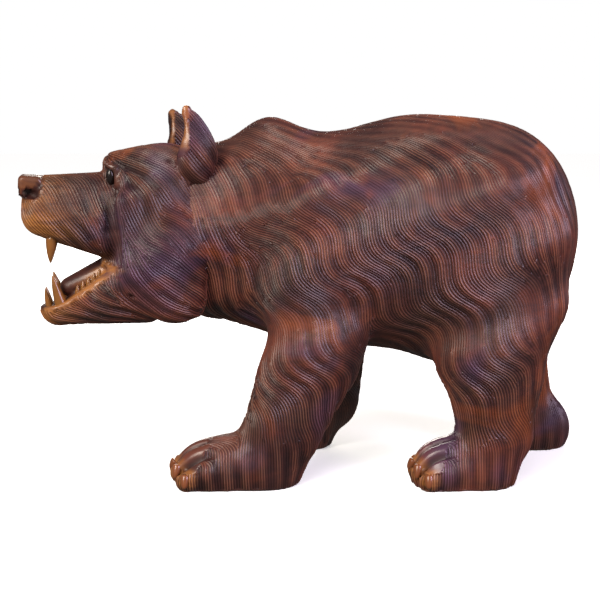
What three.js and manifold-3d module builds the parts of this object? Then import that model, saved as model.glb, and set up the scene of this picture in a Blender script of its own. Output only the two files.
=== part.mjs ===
// A walking bear carved from one block of wood: four heavy legs in stride, a high rump, a hump over
// the shoulders, and a head turned a little to one side with its mouth open and its teeth showing.
// Millimetres, +Z up. The bear walks towards -X, its near side is -Y, and it stands on Z = 0.
//
// The body is one field: rounded lumps and tapered limbs are blended as a carver leaves them, then
// hollows are cut into it. A field is a function of x, y and z that is negative inside the wood.

import * as THREE from 'three';
import { mergeVertices } from 'three/addons/utils/BufferGeometryUtils.js';
import { SimplifyModifier } from 'three/addons/modifiers/SimplifyModifier.js';
import Module from 'manifold-3d';

const NEAR = -1;
const FAR = 1;

const LENGTH = 513;                 // nose to the far hind heel
const HEAD_TURN = 10;               // degrees the head looks towards the near side
const NECK_X = -75;                 // the upright line that the head turns about
const STANCE = 58;                  // from the middle plane to the middle of each paw
const PAW_HALF = 26;                // half the width of a paw
const TOES = 5;
const TOE_PITCH = 11;
const TOE_FAN = 1.9;                // how far each next toe stands back, times its place squared

const LOCK_LENGTH = 52;             // one wave of the fur, along its flow
const LOCK_DEPTH = 1.3;             // how far the crest of a wave stands out
const LOCK_SLOPE = 57;              // degrees the fur on the flanks falls towards the rear
const LOCK_DRIFT = 150;             // the crests wander once in this length

const CELL = 3;                     // the grid that finds the surface
const BLOCK = 8;                    // cells along each side of a block that is looked at together
const FACETS = 8050;                // triangles kept on the body
const GROUND_CUT = 8;               // the paws run this far down before the soles are cut flat

// The paws: which side, the X of the toe tips and the X of the heel.
const PAWS = [
  { side: NEAR, toe: -115, heel: 4 },
  { side: FAR, toe: -56, heel: 34 },
  { side: NEAR, toe: 95, heel: 193 },
  { side: FAR, toe: 152, heel: 265 },
];

const radians = THREE.MathUtils.degToRad;

// Fields.

const softMin = (a, b, soft) => {
  const h = Math.max(soft - Math.abs(a - b), 0) / soft;
  return Math.min(a, b) - h * h * soft / 4;
};

// Each field joined to the ones before it, with a fillet about as wide as soft.
const join = (soft, ...fields) => (x, y, z) => {
  let d = fields[0](x, y, z);
  for (let i = 1; i < fields.length; i++) d = softMin(d, fields[i](x, y, z), soft);
  return d;
};

// The first field with the others cut out of it.
const carve = (soft, field, ...tools) => (x, y, z) => {
  let d = field(x, y, z);
  for (const tool of tools) d = -softMin(-d, tool(x, y, z), soft);
  return d;
};

const within = (soft, a, b) => (x, y, z) => -softMin(-a(x, y, z), -b(x, y, z), soft);

const paired = (field) => (x, y, z) => field(x, Math.abs(y), z);

// A field that is modelled facing -X, placed as the head is turned.
const onHead = (field) => {
  const c = Math.cos(radians(HEAD_TURN));
  const s = Math.sin(radians(HEAD_TURN));
  return (x, y, z) => {
    const u = x - NECK_X;
    return field(NECK_X + c * u + s * y, -s * u + c * y, z);
  };
};

// An ellipsoid. Pitch tips its rear end up.
const lump = (centre, radii, pitch = 0) => {
  const [a, b, c] = radii;
  const cp = Math.cos(radians(pitch));
  const sp = Math.sin(radians(pitch));
  return (x, y, z) => {
    const u = x - centre[0];
    const w = z - centre[2];
    const px = (cp * u + sp * w) / a;
    const py = (y - centre[1]) / b;
    const pz = (cp * w - sp * u) / c;
    const k0 = Math.hypot(px, py, pz);
    const k1 = Math.hypot(px / a, py / b, pz / c);
    return k0 * (k0 - 1) / Math.max(k1, 1e-9);
  };
};

// A tapered rod with round ends; flat is its thickness across, along Y, as a part of its width.
const limb = (start, end, r0, r1, flat = 1) => {
  const [dx, dy, dz] = [end[0] - start[0], (end[1] - start[1]) / flat, end[2] - start[2]];
  const square = dx * dx + dy * dy + dz * dz;
  return (x, y, z) => {
    const u = x - start[0];
    const v = (y - start[1]) / flat;
    const w = z - start[2];
    const t = THREE.MathUtils.clamp((u * dx + v * dy + w * dz) / square, 0, 1);
    const off = Math.hypot(u - t * dx, v - t * dy, w - t * dz);
    return (off - (r0 + (r1 - r0) * t)) * Math.min(1, flat);
  };
};

// A box with rounded edges.
const block = (centre, half, round, pitch = 0) => {
  const cp = Math.cos(radians(pitch));
  const sp = Math.sin(radians(pitch));
  return (x, y, z) => {
    const u = x - centre[0];
    const w = z - centre[2];
    const ax = Math.abs(cp * u + sp * w) - half[0] + round;
    const ay = Math.abs(y - centre[1]) - half[1] + round;
    const az = Math.abs(cp * w - sp * u) - half[2] + round;
    const outside = Math.hypot(Math.max(ax, 0), Math.max(ay, 0), Math.max(az, 0));
    return outside + Math.min(Math.max(ax, ay, az), 0) - round;
  };
};

// What lies over the line from one point to another in the plane of X and Z, seen from the near side
// with start on the right.
const above = (start, end) => {
  const length = Math.hypot(end[0] - start[0], end[1] - start[1]);
  const ux = (end[0] - start[0]) / length;
  const uz = (end[1] - start[1]) / length;
  return (x, y, z) => ux * (z - start[1]) - uz * (x - start[0]);
};

// Body and legs.

const trunk = () => {
  const ribs = lump([25, 0, 208], [108, 78, 92], -3);
  const belly = lump([104, 0, 218], [95, 84, 103]);
  const rump = lump([158, 0, 205], [90, 86, 111], -12);
  const hump = lump([-25, 0, 268], [33, 30, 50]);
  const neck = limb([-10, 0, 217], [-72, 0, 217], 80, 79, 0.73);
  return join(24, join(36, join(28, belly, rump), ribs), hump, neck);
};

const foreleg = (side, ankleX, shoulderX) => {
  const y = STANCE * side;
  const elbow = [shoulderX + 4, y * 0.93, 122];
  const shoulder = lump([shoulderX + 2, y * 0.8, 198], [47, 37, 78], -6);
  const upper = limb([shoulderX + 2, y * 0.86, 162], elbow, 43, 40, 0.74);
  const lower = limb(elbow, [ankleX, y, 48], 40, 35, 0.74);
  return join(14, shoulder, upper, lower);
};

const hindleg = (side, ankleX, hipX, kneeX) => {
  const y = STANCE * side;
  const knee = [kneeX, y * 0.93, 120];
  const hip = lump([hipX, y * 0.8, 194], [62, 41, 94], 8);
  const thigh = limb([hipX, y * 0.85, 154], knee, 50, 45, 0.78);
  const shin = limb(knee, [ankleX, y, 46], 44, 33, 0.8);
  return join(16, hip, thigh, shin);
};

const toePlaces = (side) => Array.from({ length: TOES }, (_, i) => {
  const place = i - (TOES - 1) / 2;
  return { y: STANCE * side + TOE_PITCH * place, back: TOE_FAN * place * place };
});

const paw = ({ side, toe, heel }) => {
  const y = STANCE * side;
  const long = heel - toe;
  const heelPad = lump([heel - 0.28 * long, y, 18], [0.28 * long, PAW_HALF - 1, 33]);
  const instep = lump([toe + 0.52 * long, y, 14], [0.42 * long, PAW_HALF, 31]);
  const ball = lump([toe + 0.28 * long, y, 10], [0.27 * long, PAW_HALF + 1, 27]);
  const toes = toePlaces(side).map((at) =>
    limb([toe + 30 + at.back, at.y, 17], [toe + 10.5 + at.back, at.y, 10], 10, 9, 0.74));
  return join(3, join(11, heelPad, instep, ball), ...toes);
};

// The head, modelled facing -X. Paired shapes are written once, at their distance from its middle.

const MOUTH_CORNER = [-170, 188];
const UPPER_LIP = [-231, 210];
const LOWER_LIP = [-216, 155];
const JAW_RIM = 154;                // the lip at the front of the lower jaw
const RUFF_BACK = -84;              // the cheeks' rear edge, where it laps over the neck
const EYE = [-161.5, 21, 271];

const ruff = () => {
  const skull = lump([-120, 0, 228], [50, 54, 66]);
  const cheeks = paired(lump([-116, 26, 196], [48, 36, 56], 6));
  const crown = lump([-128, 0, 268], [44, 38, 25], 2);
  const beforeEdge = (x, y, z) => x - RUFF_BACK + 0.0016 * (z - 215) ** 2;
  return within(5, join(10, skull, cheeks, crown), beforeEdge);
};

const muzzle = () => {
  const bridge = limb([-160, 0, 244], [-224, 0, 250], 28, 19);
  const lips = paired(limb([-172, 13, 224], [-226, 8, 235], 27, 19.5, 0.85));
  const jaw = limb([-146, 0, 172], [-215, 0, 153], 37, 17, 1.15);
  return join(7, bridge, lips, jaw);
};

const openMouth = () => {
  const overPalate = above(MOUTH_CORNER, UPPER_LIP);
  const overJaw = above(MOUTH_CORNER, LOWER_LIP);
  const gape = (x, y, z) => {
    const line = -softMin(overPalate(x, y, z), -overJaw(x, y, z), 4);
    return -softMin(-line, z - JAW_RIM, 8);
  };
  const reach = lump([-190, 0, 184], [70, 60, 60]);
  const throat = limb([-162, 0, 184], [-236, 0, 184], 10, 24);
  return join(3, within(2, gape, reach), throat);
};

const ear = (side, forward) => {
  const x = -96 - forward;
  const shell = limb([x, 39 * side, 287], [x - 7, 44 * side, 322 - 0.7 * forward], 20, 8, 0.95);
  const hollow = lump([x - 20, 46 * side, 304], [14, 10.5, 26], -8);
  return carve(3, shell, hollow);
};

const head = () => {
  const brows = paired(limb([-161, 10, 276], [-138, 20, 280], 13, 13));
  const cheekRolls = paired(limb([-152, 34, 246], [-147, 38, 190], 12, 15));
  const nose = block([-236.5, 0, 259], [10, 15, 9.5], 5, -4);
  const nostrils = paired(limb([-247, 7, 256], [-236, 15, 251], 3.6, 2.2));
  const sockets = paired(limb([-170, 22, 277], [-166, 25, 267], 4.5, 5.5));
  const creases = paired(limb([-166, 28, 262], [-160, 36, 204], 2.5, 3.5));
  const tongue = limb([-160, 0, 190], [-206, 0, 170], 13, 8.5, 1.2);
  const closed = join(6, ruff(), cheekRolls, brows, muzzle());
  const opened = carve(2, closed, openMouth(), sockets, creases);
  return onHead(carve(1.5, join(2.5, opened, tongue, nose), nostrils));
};

// The shallow waves that the locks of fur make on the back, flanks and thighs.
const locks = (x, y, z) => {
  const slope = radians(LOCK_SLOPE);
  const along = x * Math.cos(slope) - z * Math.sin(slope);
  const across = x * Math.sin(slope) + z * Math.cos(slope);
  const wander = 1.4 * Math.sin(2 * Math.PI * across / LOCK_DRIFT) + 0.02 * Math.abs(y);
  const furred = THREE.MathUtils.smoothstep(x, -175, -125) * THREE.MathUtils.smoothstep(z, 45, 100);
  return LOCK_DEPTH * furred * Math.sin(2 * Math.PI * along / LOCK_LENGTH + wander);
};

const body = () => {
  const legs = join(14, hindleg(NEAR, 172, 169, 168), hindleg(FAR, 213, 175, 189));
  const arms = join(8, foreleg(NEAR, -15, 11), foreleg(FAR, 24, 20));
  const standing = join(8, join(14, trunk(), legs), arms);
  const shod = join(10, standing, ...PAWS.map(paw));
  const ears = join(1, onHead(ear(NEAR, 0)), onHead(ear(FAR, 6)));
  const whole = join(4, shod, head(), ears);
  return (x, y, z) => Math.max(whole(x, y, z) - locks(x, y, z), -z - GROUND_CUT);
};

// The surface of a field. Each cell of a grid is cut into six tetrahedra, and the surface crosses each
// of them in one triangle or two. Blocks of cells that lie wholly inside or outside are skipped.

const gridOf = (low, high) => {
  const size = low.map((least, axis) => Math.ceil((high[axis] - least) / (CELL * BLOCK)) * BLOCK + 1);
  const at = (i, j, k) => (k * size[1] + j) * size[0] + i;
  const place = (i, j, k) => [low[0] + i * CELL, low[1] + j * CELL, low[2] + k * CELL];
  return { size, at, place };
};

const eachStep = (size, step, visit) => {
  for (let k = 0; k + step < size[2]; k += step) {
    for (let j = 0; j + step < size[1]; j += step) {
      for (let i = 0; i + step < size[0]; i += step) visit(i, j, k);
    }
  }
};

const blocksAcross = (field, grid) => {
  const half = CELL * BLOCK / 2;
  const blocks = [];
  eachStep(grid.size, BLOCK, (i, j, k) => {
    const [x, y, z] = grid.place(i, j, k);
    if (Math.abs(field(x + half, y + half, z + half)) < 3.2 * half) blocks.push([i, j, k]);
  });
  return blocks;
};

// Values on the grid's points, kept off zero so that no edge is crossed at its very end.
const sample = (field, grid, blocks) => {
  const values = new Float32Array(grid.size[0] * grid.size[1] * grid.size[2]);
  const side = [BLOCK + 2, BLOCK + 2, BLOCK + 2];
  for (const [i0, j0, k0] of blocks) {
    eachStep(side, 1, (i, j, k) => {
      const where = grid.at(i0 + i, j0 + j, k0 + k);
      if (values[where] === 0) values[where] = field(...grid.place(i0 + i, j0 + j, k0 + k)) || 1e-5;
    });
  }
  return values;
};

// The six walks from a cell's first corner to its last, one axis at a time; odd ones are left-handed.
const WALKS = [[1, 2, 4, 1], [2, 4, 1, 1], [4, 1, 2, 1], [2, 1, 4, -1], [1, 4, 2, -1], [4, 2, 1, -1]]
  .map(([a, b, c, hand]) => ({ corners: [0, a, a | b, a | b | c], hand }));

const surfaceOf = (field, low, high) => {
  const grid = gridOf(low, high);
  const blocks = blocksAcross(field, grid);
  const values = sample(field, grid, blocks);
  const positions = [];
  const triangles = [];
  const made = new Map();

  const crossing = (p, q) => {
    const [a, b] = p.where < q.where ? [p, q] : [q, p];
    const key = a.where * 8 + (a.corner ^ b.corner);
    if (!made.has(key)) {
      const t = THREE.MathUtils.clamp(a.value / (a.value - b.value), 0.03, 0.97);
      made.set(key, positions.length / 3);
      a.at.forEach((from, axis) => positions.push(from + t * (b.at[axis] - from)));
    }
    return made.get(key);
  };

  const addTetrahedron = (corners, hand) => {
    const wood = corners.filter((c) => c.value < 0);
    const air = corners.filter((c) => c.value >= 0);
    if (!wood.length || !air.length) return;
    const order = [...wood, ...air].map((c) => corners.indexOf(c));
    let swaps = 0;
    for (let i = 0; i < 4; i++) {
      for (let j = i + 1; j < 4; j++) if (order[i] > order[j]) swaps++;
    }
    const facing = swaps % 2 ? -hand : hand;
    const add = (a, b, c) => triangles.push(...(facing > 0 ? [a, b, c] : [a, c, b]));
    if (wood.length === 1) add(...air.map((c) => crossing(wood[0], c)));
    if (air.length === 1) add(...wood.map((c) => crossing(c, air[0])));
    if (wood.length === 2) {
      const [ac, ad, bc, bd] = wood.flatMap((w) => air.map((c) => crossing(w, c)));
      add(ac, ad, bd);
      add(ac, bd, bc);
    }
  };

  const addCell = (i, j, k) => {
    const corners = [0, 1, 2, 3, 4, 5, 6, 7].map((corner) => {
      const step = [i + (corner & 1), j + (corner >> 1 & 1), k + (corner >> 2)];
      const where = grid.at(...step);
      return { corner, where, value: values[where], at: grid.place(...step) };
    });
    if (corners.every((c) => c.value < 0) || corners.every((c) => c.value >= 0)) return;
    WALKS.forEach((walk) => addTetrahedron(walk.corners.map((c) => corners[c]), walk.hand));
  };

  const side = [BLOCK + 1, BLOCK + 1, BLOCK + 1];
  for (const [i0, j0, k0] of blocks) {
    eachStep(side, 1, (i, j, k) => addCell(i0 + i, j0 + j, k0 + k));
  }
  const geometry = new THREE.BufferGeometry();
  geometry.setAttribute('position', new THREE.Float32BufferAttribute(positions, 3));
  geometry.setIndex(triangles);
  return geometry;
};

// Teeth and claws: small tapered points that stand in the body.

const point = (base, tip, radius, tipRadius, sides) => {
  const from = new THREE.Vector3(...base);
  const to = new THREE.Vector3(...tip);
  const geometry = new THREE.CylinderGeometry(tipRadius, radius, from.distanceTo(to), sides);
  const turn = new THREE.Quaternion().setFromUnitVectors(
    new THREE.Vector3(0, 1, 0), to.clone().sub(from).normalize());
  geometry.applyQuaternion(turn);
  geometry.translate(...from.add(to).multiplyScalar(0.5).toArray());
  return geometry;
};

const asHead = (geometry) => geometry
  .translate(-NECK_X, 0, 0)
  .rotateZ(radians(HEAD_TURN))
  .translate(NECK_X, 0, 0);

const teeth = () => [NEAR, FAR].flatMap((side) => [
  point([-219, 12 * side, 214], [-223, 12.5 * side, 191], 5.5, 0.6, 8),
  point([-211, 13 * side, 148], [-222, 13 * side, 180], 6.5, 0.6, 8),
  point([-223, 6 * side, 150], [-228, 6.5 * side, 169], 4, 0.6, 8),
]).map(asHead);

const claws = ({ side, toe }) => toePlaces(side).map((at) =>
  point([toe + 10 + at.back, at.y, 14], [toe - 1 + at.back, at.y, 4], 4.6, 2, 6));

const eyes = () => [NEAR, FAR].map((side) => asHead(
  new THREE.SphereGeometry(7, 12, 8).rotateX(Math.PI / 2).translate(EYE[0], EYE[1] * side, EYE[2])));

// Solids.

const wasm = await Module();
wasm.setup();

const solidOf = (geometry) => {
  const bare = geometry.clone();
  bare.deleteAttribute('normal');
  bare.deleteAttribute('uv');
  const merged = mergeVertices(bare, 1e-4);
  return new wasm.Manifold(new wasm.Mesh({
    numProp: 3,
    vertProperties: merged.attributes.position.array,
    triVerts: new Uint32Array(merged.index.array),
  }));
};

const geometryOf = (solid) => {
  const mesh = solid.getMesh();
  const geometry = new THREE.BufferGeometry();
  geometry.setAttribute('position', new THREE.Float32BufferAttribute(mesh.vertProperties, 3));
  geometry.setIndex(Array.from(mesh.triVerts));
  return geometry;
};

const carved = surfaceOf(body(), [-276, -111, -GROUND_CUT - 6], [284, 111, 346]);
const surplus = carved.attributes.position.count - FACETS / 2;
const faceted = await new SimplifyModifier().modify(carved, surplus);

const additions = [...teeth(), ...eyes(), ...PAWS.flatMap(claws)];
const underground = new THREE.BoxGeometry(2 * LENGTH, LENGTH, 40).translate(0, 0, -20);
const whole = additions.reduce((solid, extra) => solid.add(solidOf(extra)), solidOf(faceted));
const geometry = geometryOf(whole.subtract(solidOf(underground)));

geometry.computeBoundingBox();
const middle = geometry.boundingBox.getCenter(new THREE.Vector3());
geometry.translate(-middle.x, -middle.y, 0);
geometry.computeVertexNormals();

const wood = new THREE.MeshStandardMaterial({ color: 0x4a2015, roughness: 0.38, metalness: 0 });
const bear = new THREE.Mesh(geometry, wood);
bear.name = 'bear';

const group = new THREE.Group();
group.add(bear);

export default group;
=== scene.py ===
"""A walking bear carved from one block of dark, lacquered wood.

The body and the head are fields of blended lumps and limbs, in millimetres, with the bear walking
towards -X and its near side at -Y. Their surfaces are cut with fine grooves that follow the lay of the
fur. Teeth, claws and eyes are modelled on their own.
"""

import math

import bpy
import numpy as np
from bpy.props import FloatProperty, FloatVectorProperty, PointerProperty
from mathutils import Matrix, Vector


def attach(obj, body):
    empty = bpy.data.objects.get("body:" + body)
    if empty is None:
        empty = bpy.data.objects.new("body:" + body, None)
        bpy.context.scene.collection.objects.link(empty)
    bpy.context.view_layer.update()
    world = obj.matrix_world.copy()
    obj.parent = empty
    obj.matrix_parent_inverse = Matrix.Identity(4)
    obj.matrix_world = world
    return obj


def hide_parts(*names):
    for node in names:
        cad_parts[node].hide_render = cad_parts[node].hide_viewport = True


bl_info = {
    "name": "Carved Bear",
    "version": (1, 0, 0),
    "blender": (4, 5, 0),
    "location": "3D View > Sidebar > Carved Bear",
    "description": "A walking bear carved from one block of wood",
    "category": "Object",
}

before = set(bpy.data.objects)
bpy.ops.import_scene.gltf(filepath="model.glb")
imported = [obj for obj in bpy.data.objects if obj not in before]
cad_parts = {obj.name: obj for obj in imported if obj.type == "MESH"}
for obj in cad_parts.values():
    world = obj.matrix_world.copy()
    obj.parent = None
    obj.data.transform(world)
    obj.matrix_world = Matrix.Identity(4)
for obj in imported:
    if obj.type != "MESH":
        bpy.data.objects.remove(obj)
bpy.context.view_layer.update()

MM = 0.001
NEAR = -1
FAR = 1
MIDDLE_X = 9.7          # the middle of the bear's length, in the carving's own place


# Fields. Each is a function of the arrays x, y and z that is negative inside the wood.


def soft_min(a, b, soft):
    """The lesser of two distances, rounded over where they are nearly equal."""
    h = np.maximum(soft - np.abs(a - b), 0) / soft
    return np.minimum(a, b) - h * h * soft / 4


def join(soft, *fields):
    """Each field joined to the ones before it, with a fillet about as wide as soft."""
    def field(x, y, z):
        d = fields[0](x, y, z)
        for other in fields[1:]:
            d = soft_min(d, other(x, y, z), soft)
        return d
    return field


def carve(soft, whole, *tools):
    """The first field with the others cut out of it."""
    def field(x, y, z):
        d = whole(x, y, z)
        for tool in tools:
            d = -soft_min(-d, tool(x, y, z), soft)
        return d
    return field


def within(soft, a, b):
    """What two fields have in common, with a rounded edge."""
    return lambda x, y, z: -soft_min(-a(x, y, z), -b(x, y, z), soft)


def paired(field):
    """A field and its mirror image over the middle plane."""
    return lambda x, y, z: field(x, np.abs(y), z)


def lump(centre, radii, pitch=0):
    """An ellipsoid. Pitch tips its rear end up."""
    a, b, c = radii
    cp, sp = math.cos(math.radians(pitch)), math.sin(math.radians(pitch))

    def field(x, y, z):
        u, w = x - centre[0], z - centre[2]
        px, py, pz = (cp * u + sp * w) / a, (y - centre[1]) / b, (cp * w - sp * u) / c
        k0 = np.sqrt(px * px + py * py + pz * pz)
        k1 = np.sqrt((px / a) ** 2 + (py / b) ** 2 + (pz / c) ** 2)
        return k0 * (k0 - 1) / np.maximum(k1, 1e-9)
    return field


def limb(start, end, r0, r1, flat=1):
    """A tapered rod with round ends. Flat is its thickness across, as a part of its width."""
    dx, dy, dz = end[0] - start[0], (end[1] - start[1]) / flat, end[2] - start[2]
    square = dx * dx + dy * dy + dz * dz

    def field(x, y, z):
        u, v, w = x - start[0], (y - start[1]) / flat, z - start[2]
        t = np.clip((u * dx + v * dy + w * dz) / square, 0, 1)
        off = np.sqrt((u - t * dx) ** 2 + (v - t * dy) ** 2 + (w - t * dz) ** 2)
        return (off - (r0 + (r1 - r0) * t)) * min(1, flat)
    return field


def block(centre, half, rounded, pitch=0):
    """A box with rounded edges."""
    cp, sp = math.cos(math.radians(pitch)), math.sin(math.radians(pitch))

    def field(x, y, z):
        u, w = x - centre[0], z - centre[2]
        ax = np.abs(cp * u + sp * w) - half[0] + rounded
        ay = np.abs(y - centre[1]) - half[1] + rounded
        az = np.abs(cp * w - sp * u) - half[2] + rounded
        outside = np.sqrt(np.maximum(ax, 0) ** 2 + np.maximum(ay, 0) ** 2 + np.maximum(az, 0) ** 2)
        return outside + np.minimum(np.maximum(np.maximum(ax, ay), az), 0) - rounded
    return field


def above(start, end):
    """What lies over the line from one point to another in the plane of X and Z."""
    length = math.dist(start, end)
    ux, uz = (end[0] - start[0]) / length, (end[1] - start[1]) / length
    return lambda x, y, z: ux * (z - start[1]) - uz * (x - start[0])


def smoothstep(value, low, high):
    """0 at low and 1 at high, with an easy start and end."""
    t = np.clip((value - low) / (high - low), 0, 1)
    return t * t * (3 - 2 * t)


# Body and legs.

STANCE = 58             # from the middle plane to the middle of each paw
PAW_HALF = 26
TOES = 5
TOE_PITCH = 11
TOE_FAN = 1.9           # how far the toes beside the middle one stand back
TOE_ARCH = 6            # how much higher the middle toe is than the outer ones
TOE_SPLAY = 0.35        # how much further apart the claws stand than the toes
CLEFT_DEPTH = 3.6
CLEFT_HALF = 1.9
CLEFT_SPREAD = 0.004    # the clefts run apart by this part for each millimetre back

PAWS = (
    {"side": NEAR, "toe": -115, "heel": 4},
    {"side": FAR, "toe": -56, "heel": 34},
    {"side": NEAR, "toe": 95, "heel": 193},
    {"side": FAR, "toe": 152, "heel": 265},
)


def trunk():
    """Ribs, belly, rump, hump and neck."""
    ribs = lump((25, 0, 208), (108, 78, 92), -3)
    belly = lump((104, 0, 218), (95, 84, 103))
    rump = lump((158, 0, 205), (90, 86, 111), -12)
    hump = lump((-25, 0, 268), (33, 30, 50))
    neck = limb((-10, 0, 217), (-72, 0, 217), 80, 79, 0.73)
    return join(24, join(36, join(28, belly, rump), ribs), hump, neck)


def foreleg(side, ankle_x, shoulder_x):
    """A front leg, down to its ankle."""
    y = STANCE * side
    elbow = (shoulder_x + 4, y * 0.93, 122)
    shoulder = lump((shoulder_x + 2, y * 0.8, 198), (47, 37, 78), -6)
    upper = limb((shoulder_x + 2, y * 0.86, 162), elbow, 43, 40, 0.74)
    lower = limb(elbow, (ankle_x, y, 48), 40, 35, 0.74)
    return join(14, shoulder, upper, lower)


def hindleg(side, ankle_x, hip_x, knee_x):
    """A rear leg, down to its ankle."""
    y = STANCE * side
    knee = (knee_x, y * 0.93, 120)
    hip = lump((hip_x, y * 0.8, 194), (62, 41, 94), 8)
    thigh = limb((hip_x, y * 0.85, 154), knee, 50, 45, 0.78)
    shin = limb(knee, (ankle_x, y, 46), 44, 33, 0.8)
    return join(16, hip, thigh, shin)


def toe_places(paw):
    """The Y of each toe, how far it stands behind the middle one, and how much higher than the last."""
    places = [i - (TOES - 1) / 2 for i in range(TOES)]
    middle = STANCE * paw["side"]
    return [(middle + TOE_PITCH * place, TOE_FAN * place ** 2, TOE_ARCH * (1 - place ** 2 / 4))
            for place in places]


def paw(shape):
    """Heel, instep, ball and toes, running on below the ground."""
    y = STANCE * shape["side"]
    toe, heel = shape["toe"], shape["heel"]
    long = heel - toe
    heel_pad = lump((heel - 0.28 * long, y, 18), (0.28 * long, PAW_HALF - 1, 33))
    instep = lump((toe + 0.52 * long, y, 14), (0.42 * long, PAW_HALF, 31))
    ball = lump((toe + 0.30 * long, y, 10), (0.26 * long, PAW_HALF, 27))
    toes = [limb((toe + 30 + back, ty, 15 + lift), (toe + 10.5 + back, ty, 8 + lift), 10, 9, 0.74)
            for ty, back, lift in toe_places(shape)]
    return join(3, join(9, heel_pad, instep, ball), *toes)


def clefts(x, y, z):
    """The cuts between the toes, which run back over the top of each paw."""
    depth = np.zeros_like(x)
    for shape in PAWS:
        back = x - shape["toe"]
        across = (y - STANCE * shape["side"]) * (1 - CLEFT_SPREAD * back) / TOE_PITCH
        beside = np.abs(across - np.round(across + 0.5) + 0.5) * TOE_PITCH
        reach = (1 - smoothstep(back, 24, 50)) * smoothstep(back, -9, -3) * smoothstep(z, 2, 9)
        inner = (1 - smoothstep(np.abs(across), 1.8, 2.1)) * (1 - smoothstep(z, 60, 70))
        depth = np.maximum(depth, reach * inner * np.exp(-(beside / CLEFT_HALF) ** 2))
    return CLEFT_DEPTH * depth


LOCK_LENGTH = 62.5      # one wave of the fur, down its rows
LOCK_DEPTH = 2.3
LOCK_RISE = math.radians(25)    # the rows of bends climb this much towards the rear
LOCK_START = 213.5              # how far from the origin a row of level fur passes, above it


def wave_place(x, z):
    """How many waves down the rows a place is."""
    return (x * math.sin(LOCK_RISE) - z * math.cos(LOCK_RISE) + LOCK_START) / LOCK_LENGTH


def locks(x, y, z):
    """The shallow waves that the locks of fur make on the flanks and thighs."""
    furred = smoothstep(x, -175, -125) * smoothstep(z, 55, 130) * smoothstep(np.abs(y), 18, 58)
    return -LOCK_DEPTH * furred * np.sin(2 * math.pi * wave_place(x, z))


def body_field():
    """The trunk on its four legs, cut flat at the ground."""
    legs = join(14, hindleg(NEAR, 172, 169, 168), hindleg(FAR, 213, 175, 189))
    arms = join(8, foreleg(NEAR, -15, 11), foreleg(FAR, 24, 20))
    standing = join(8, join(14, trunk(), legs), arms)
    shod = join(10, standing, *[paw(shape) for shape in PAWS])
    return lambda x, y, z: np.maximum(shod(x, y, z) - locks(x, y, z) + clefts(x, y, z), -z)


# The head, modelled facing -X and then turned. Paired shapes are written once.

HEAD_TURN = math.radians(10)
NECK_X = -75
MOUTH_CORNER = (-170, 188)
UPPER_LIP = (-231, 210)
LOWER_LIP = (-216, 155)
JAW_RIM = 154
RUFF_BACK = -84
EAR_RIM = 102           # the ears are left smooth in front of this
EARS = ((NEAR, 0), (FAR, 6))    # the side of each ear and how far forward it stands
EYE = (-167.5, 20, 268.5)


def to_head(x, y, z):
    """A place seen as if the head looked straight along -X."""
    c, s = math.cos(HEAD_TURN), math.sin(HEAD_TURN)
    return NECK_X + c * (x - NECK_X) + s * y, c * y - s * (x - NECK_X), z


def from_head(points):
    """The other way round: places on the head, turned as the head is."""
    c, s = math.cos(HEAD_TURN), math.sin(HEAD_TURN)
    x, y, z = np.asarray(points, float).T
    return np.stack([NECK_X + c * (x - NECK_X) - s * y, c * y + s * (x - NECK_X), z], -1)


def ruff():
    """Skull, cheeks and crown, with the edge that stands out from the neck."""
    skull = lump((-120, 0, 228), (50, 54, 66))
    cheeks = paired(lump((-116, 26, 196), (48, 36, 56), 6))
    crown = lump((-128, 0, 268), (44, 38, 25), 2)

    def before_edge(x, y, z):
        return x - RUFF_BACK + 0.0016 * (z - 215) ** 2

    return within(5, join(10, skull, cheeks, crown), before_edge)


def muzzle():
    """The bridge of the nose, the upper lips and the lower jaw."""
    bridge = limb((-160, 0, 244), (-224, 0, 250), 28, 19)
    lips = paired(limb((-172, 13, 224), (-226, 8, 235), 27, 19.5, 0.85))
    jaw = limb((-146, 0, 172), (-215, 0, 153), 37, 17, 1.15)
    return join(7, bridge, lips, jaw)


def mouth():
    """The open mouth, as a tool that cuts it."""
    over_palate = above(MOUTH_CORNER, UPPER_LIP)
    over_jaw = above(MOUTH_CORNER, LOWER_LIP)

    def gape(x, y, z):
        line = -soft_min(over_palate(x, y, z), -over_jaw(x, y, z), 4)
        return -soft_min(-line, z - JAW_RIM, 8)

    reach = lump((-190, 0, 184), (70, 60, 60))
    throat = limb((-162, 0, 184), (-236, 0, 184), 10, 24)
    return join(3, within(2, gape, reach), throat)


def tongue():
    return limb((-160, 0, 190), (-206, 0, 170), 13, 8.5, 1.2)


def nose():
    return block((-236.5, 0, 259.5), (10, 15, 9.5), 3.5, -4)


def nostrils():
    """Two holes that taper off backwards into a short slit."""
    hole = limb((-246, 7, 256), (-233, 16, 253), 4.0, 3.8)
    tail = limb((-233, 16, 253), (-228, 15.5, 260), 2.8, 1.2)
    return paired(join(1, hole, tail))


def creases():
    """The fold that runs down from the eye and round behind the mouth."""
    upper = limb((-170, 30, 260), (-168, 36, 222), 3.0, 4.6)
    middle = limb((-168, 36, 222), (-163, 39, 200), 4.6, 4.6)
    lower = limb((-163, 39, 200), (-151, 38, 168), 4.6, 2.0)
    return paired(join(2, upper, middle, lower))


def lids():
    """The rims over and behind the eyes."""
    rear = limb((-163, 24, 275), (-162.5, 25, 261), 2.2, 2.0)
    upper = limb((-173, 19, 279), (-163, 24, 275), 1.8, 2.2)
    return paired(join(1.5, rear, upper))


def ear_shell(side, forward):
    x = -96 - forward
    return join(6, lump((x, 41 * side, 293), (17, 11, 32.5 - 0.7 * forward), 9),
                limb((x - 3, 42 * side, 300), (x - 7, 43.5 * side, 325.5 - 0.7 * forward), 11, 3.6, 0.8))


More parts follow.
